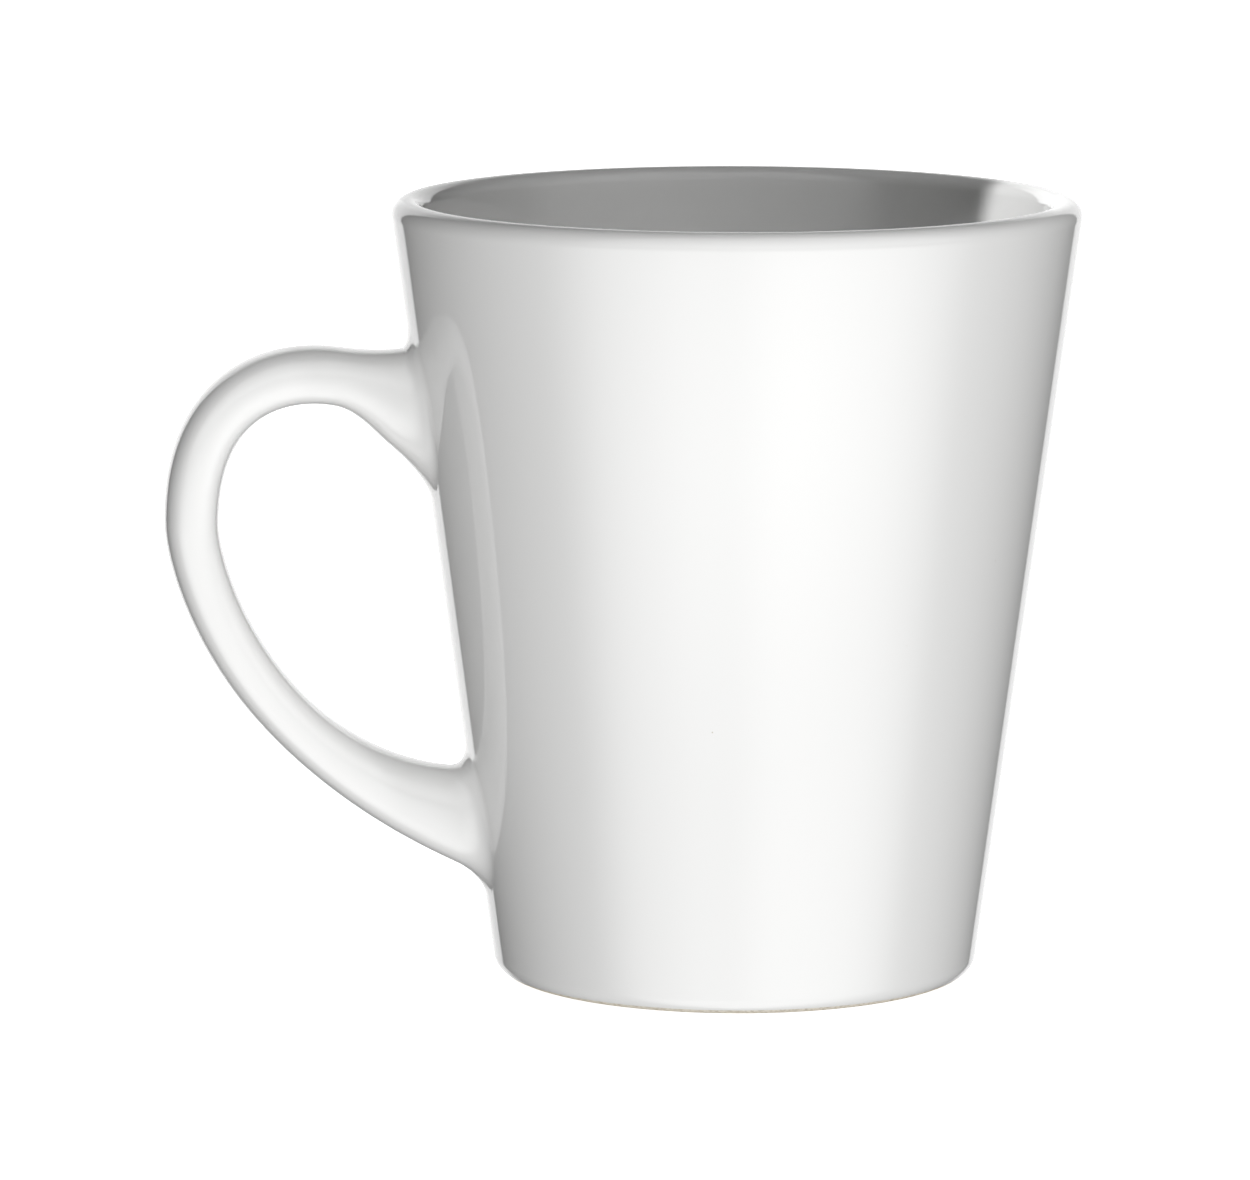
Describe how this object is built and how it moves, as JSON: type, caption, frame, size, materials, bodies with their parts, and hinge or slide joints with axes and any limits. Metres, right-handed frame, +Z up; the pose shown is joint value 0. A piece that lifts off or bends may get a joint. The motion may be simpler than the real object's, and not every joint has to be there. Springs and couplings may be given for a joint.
{
  "type": "ceramic mug",
  "caption": "White glazed ceramic mug: an open conical cup on a turned foot ring, with a rounded lip and a loop handle luted to its side for the fingers.",
  "frame": {"origin": "centre of the foot ring on the plane that the mug stands on", "axes": "+Z up the cup's axis, -X from the axis towards the handle, +Y across the handle"},
  "size_m": [0.1191, 0.0894, 0.1016],
  "materials": {
    "fired_clay": "matt bare stoneware, fine sandy grain",
    "joining_slip": "matt bare stoneware, smoothed",
    "white_glaze": "glossy opaque white glaze"
  },
  "bodies": {
    "root": {"body": "fired_clay", "handle": "fired_clay", "upper_slip": "joining_slip", "lower_slip": "joining_slip", "liner_glaze": "white_glaze", "outer_glaze": "white_glaze", "handle_glaze": "white_glaze", "base_glaze": "white_glaze"}
  },
  "joints": []
}
